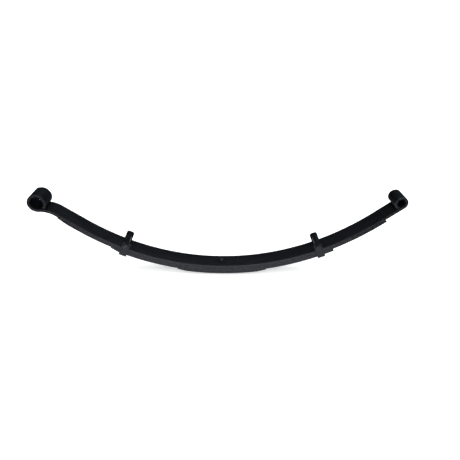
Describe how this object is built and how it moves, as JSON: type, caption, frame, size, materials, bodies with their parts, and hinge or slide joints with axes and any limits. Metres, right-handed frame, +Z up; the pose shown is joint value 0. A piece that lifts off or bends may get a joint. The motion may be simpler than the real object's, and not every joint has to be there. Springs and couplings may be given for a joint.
{
  "type": "leaf spring",
  "caption": "Arched multi-leaf vehicle suspension spring with a large and a small upturned eye, a centre bolt and bolted rebound clips.",
  "frame": {"origin": "on the centre bolt's axis, at the underside of the leaf pack, where it sits on the axle", "axes": "+X towards the rear, smaller eye; +Y across the leaves, along the eyes' axes; +Z up, from the axle towards the vehicle"},
  "size_m": [1.1646, 0.0944, 0.294],
  "materials": {
    "black_spring_paint": "satin",
    "fastener_steel": "satin"
  },
  "bodies": {
    "leaves": {"main_leaf": "black_spring_paint", "second_leaf": "black_spring_paint", "third_leaf": "black_spring_paint", "short_leaf": "black_spring_paint"},
    "axle_seat": {"centre_bolt": "fastener_steel", "centre_bolt_nut": "fastener_steel"},
    "front_clip": {"front_clip_strap": "black_spring_paint", "front_clip_rivet": "fastener_steel", "front_clip_bolt": "fastener_steel", "front_clip_spacer_tube": "black_spring_paint", "front_clip_nut": "fastener_steel"},
    "rear_clip": {"rear_clip_strap": "black_spring_paint", "rear_clip_rivet": "fastener_steel", "rear_clip_bolt": "fastener_steel", "rear_clip_spacer_tube": "black_spring_paint", "rear_clip_nut": "fastener_steel"}
  },
  "joints": [
    {"name": "seat_travel", "type": "slide", "parent": "leaves", "child": "axle_seat", "axis": [0, 0, 1], "range_m": [-0.01, 0.1], "stiffness_N_per_m": 44000, "deforming": ["main_leaf", "second_leaf", "third_leaf", "short_leaf"]},
    {"name": "front_clip_swing", "type": "hinge", "parent": "leaves", "child": "front_clip", "pos_m": [-0.484, 0, 0.1069], "axis": [0, -1, 0], "range_deg": [-2, 18]},
    {"name": "rear_clip_swing", "type": "hinge", "parent": "leaves", "child": "rear_clip", "pos_m": [0.478, 0, 0.1064], "axis": [0, 1, 0], "range_deg": [-2, 18]}
  ],
  "couplings": [
    {"joint": "front_clip_swing", "follows": "seat_travel", "rad_per_m": 2.54},
    {"joint": "rear_clip_swing", "follows": "seat_travel", "rad_per_m": 2.58}
  ]
}
